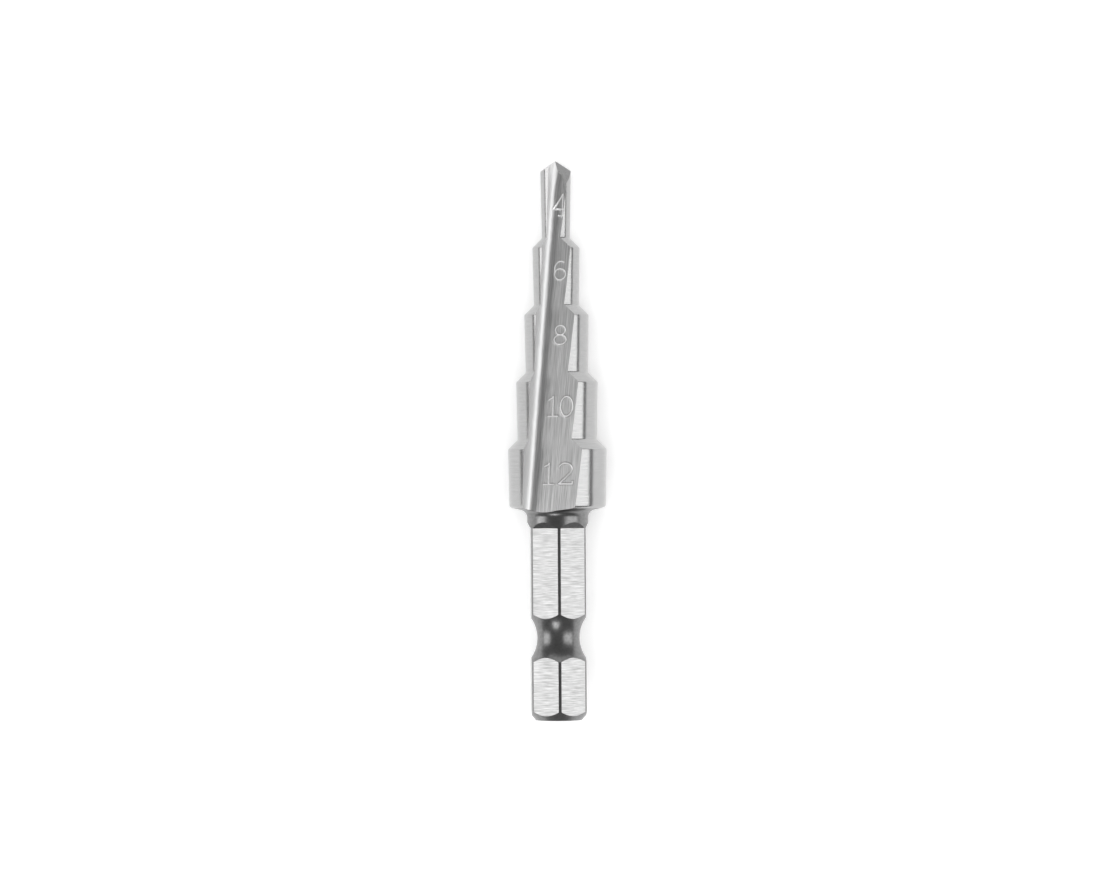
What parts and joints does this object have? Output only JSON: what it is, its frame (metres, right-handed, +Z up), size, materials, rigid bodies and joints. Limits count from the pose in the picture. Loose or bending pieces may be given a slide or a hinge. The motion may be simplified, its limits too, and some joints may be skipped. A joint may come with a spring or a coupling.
{
  "type": "step drill",
  "caption": "Stepped sheet-metal drill bit for holes from 4 to 12 mm, with slanting vee flutes, a split point and a quarter-inch hex shank with a waist.",
  "frame": {"origin": "centre of the bounding box's underside, on the table that the drill lies on", "axes": "+Z up from the table, +Y from the shank towards the point, +X to the right of the numbered flute, which faces up"},
  "size_m": [0.0116, 0.0652, 0.0099],
  "materials": {
    "ground_steel": "ground high-speed steel, satin"
  },
  "bodies": {
    "root": {"step_drill": "ground_steel"}
  },
  "joints": []
}
